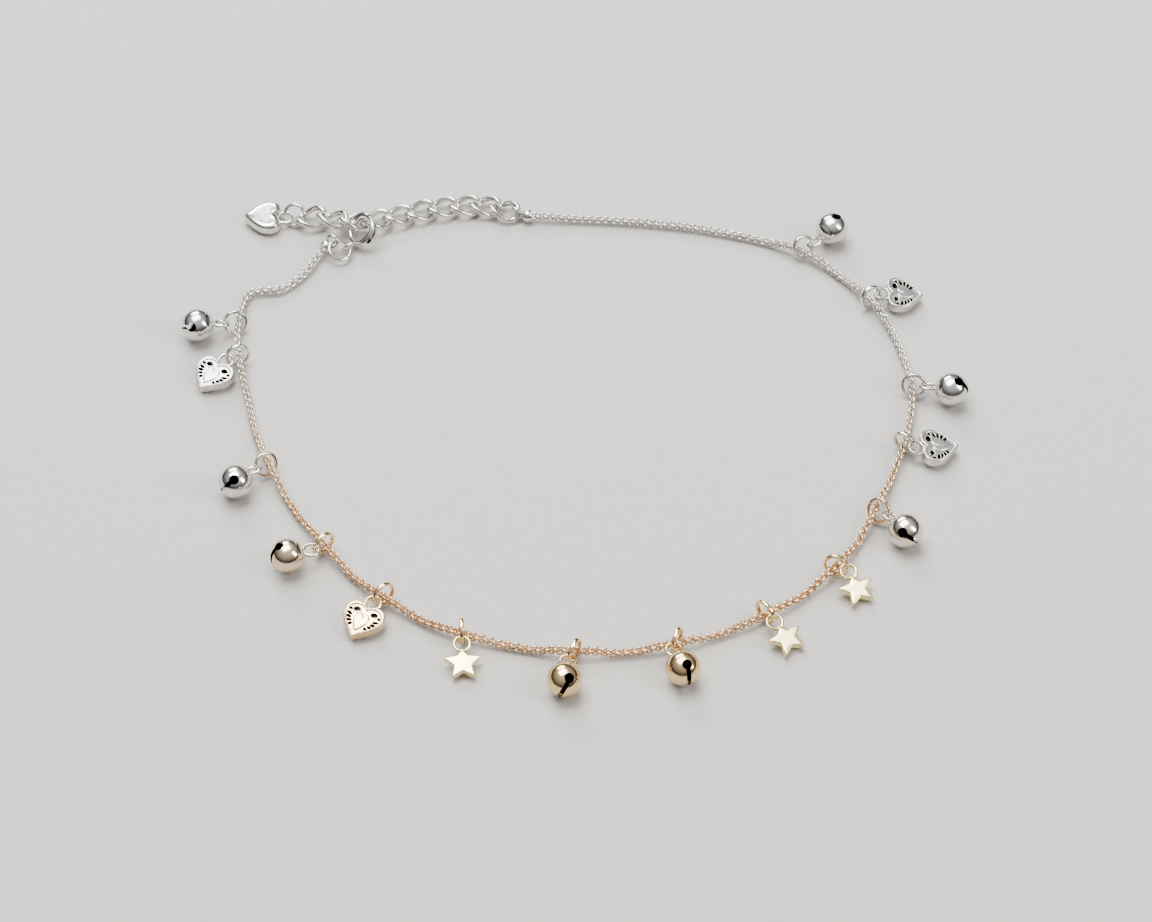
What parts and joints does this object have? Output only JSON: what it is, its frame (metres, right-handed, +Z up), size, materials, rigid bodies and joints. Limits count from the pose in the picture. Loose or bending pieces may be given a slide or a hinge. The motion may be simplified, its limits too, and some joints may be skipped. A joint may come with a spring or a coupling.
{
  "type": "payal anklet",
  "caption": "Payal anklet: fine round-link chain in a closed loop with jingle bells, pierced hearts and flat stars on jump rings, a curb-link extender with a heart, and a spring ring clasp.",
  "frame": {"origin": "centre of the laid-out anklet on the surface it lies on", "axes": "+X to the right across the loop and +Y from the bells at the front to the clasp at the back, +Z up"},
  "size_m": [0.095, 0.0784, 0.004],
  "materials": {
    "silver_plate": "polished",
    "champagne_plate": "polished",
    "gold_plate": "polished",
    "chain_plate": "polished"
  },
  "bodies": {
    "anklet": {"bell_1": "silver_plate", "bell_11": "champagne_plate", "bell_13": "silver_plate", "bell_15": "silver_plate", "bell_3": "silver_plate", "bell_4": "champagne_plate", "bell_7": "gold_plate", "bell_8": "gold_plate", "chain": "chain_plate", "clasp_body": "silver_plate", "clasp_jump_ring": "silver_plate", "curb_link_1": "silver_plate", "curb_link_10": "silver_plate", "curb_link_2": "silver_plate", "curb_link_3": "silver_plate", "curb_link_4": "silver_plate", "curb_link_5": "silver_plate", "curb_link_6": "silver_plate", "curb_link_7": "silver_plate", "curb_link_8": "silver_plate", "curb_link_9": "silver_plate", "end_cap_clasp": "silver_plate", "end_cap_extender": "silver_plate", "heart_12": "silver_plate", "heart_14": "silver_plate", "heart_2": "silver_plate", "heart_5": "champagne_plate", "jump_ring_1": "silver_plate", "jump_ring_10": "gold_plate", "jump_ring_11": "champagne_plate", "jump_ring_12": "champagne_plate", "jump_ring_13": "silver_plate", "jump_ring_14": "silver_plate", "jump_ring_15": "silver_plate", "jump_ring_2": "silver_plate", "jump_ring_3": "champagne_plate", "jump_ring_4": "champagne_plate", "jump_ring_5": "gold_plate", "jump_ring_6": "gold_plate", "jump_ring_7": "gold_plate", "jump_ring_8": "gold_plate", "jump_ring_9": "gold_plate", "star_10": "gold_plate", "star_6": "gold_plate", "star_9": "gold_plate", "tail_heart": "silver_plate", "tail_ring": "silver_plate"},
    "bolt": {"clasp_bolt": "silver_plate"}
  },
  "joints": [
    {"name": "clasp_bolt_slide", "type": "hinge", "parent": "anklet", "child": "bolt", "pos_m": [-0.02622, 0.0326, 0.00177], "axis": [-0.6133, -0.3261, 0.7193], "range_deg": [-48, 0], "stiffness_Nm_per_rad": 0.0005, "springref_deg": 17.19}
  ]
}
